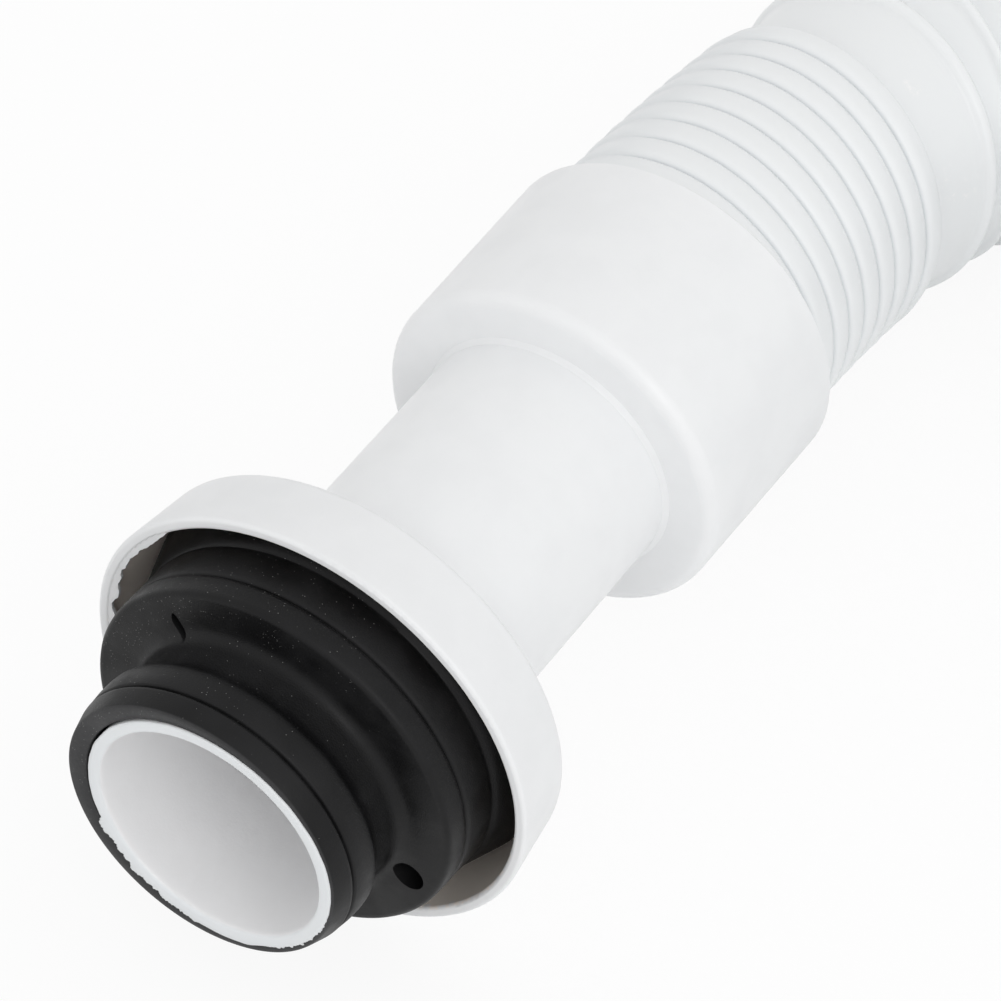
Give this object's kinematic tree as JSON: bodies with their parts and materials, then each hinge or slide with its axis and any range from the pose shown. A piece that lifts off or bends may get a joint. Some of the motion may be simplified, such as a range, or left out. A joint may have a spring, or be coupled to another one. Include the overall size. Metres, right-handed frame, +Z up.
{
  "type": "s-trap waste pipe",
  "caption": "Flexible white S-shaped basin waste pipe: pleated hose, outlet spigot with stepped black rubber plug and sliding cover, and coupling nut at the inlet.",
  "frame": {"origin": "centre of the outlet mouth, on the outlet pipe's axis", "axes": "+Y up the outlet pipe from its mouth, +Z up, +X to the right when looking into the pipe from its mouth; the pipe lies on its side on a level surface"},
  "size_m": [0.2051, 0.1971, 0.0573],
  "materials": {
    "outlet_spigot": "satin white moulded plastic",
    "rubber_plug": "matt black rubber",
    "drain_cover": "satin white moulded plastic",
    "bellows_hose": "satin white moulded plastic",
    "inlet_cuff": "satin white moulded plastic",
    "sealing_washer": "matt black rubber",
    "coupling_nut": "satin white moulded plastic"
  },
  "bodies": {
    "pipe": {"outlet_spigot": "outlet_spigot", "rubber_plug": "rubber_plug", "bellows_hose": "bellows_hose", "inlet_cuff": "inlet_cuff", "sealing_washer": "sealing_washer"},
    "cover": {"drain_cover": "drain_cover"},
    "nut": {"coupling_nut": "coupling_nut"}
  },
  "joints": [
    {"name": "cover_slide", "type": "slide", "parent": "pipe", "child": "cover", "axis": [0, 1, 0], "range_m": [0, 0.039]},
    {"name": "nut_spin", "type": "hinge", "parent": "pipe", "child": "nut", "pos_m": [0.15167, 0.1905, -0.00385], "axis": [0, 1, 0], "continuous": true}
  ]
}
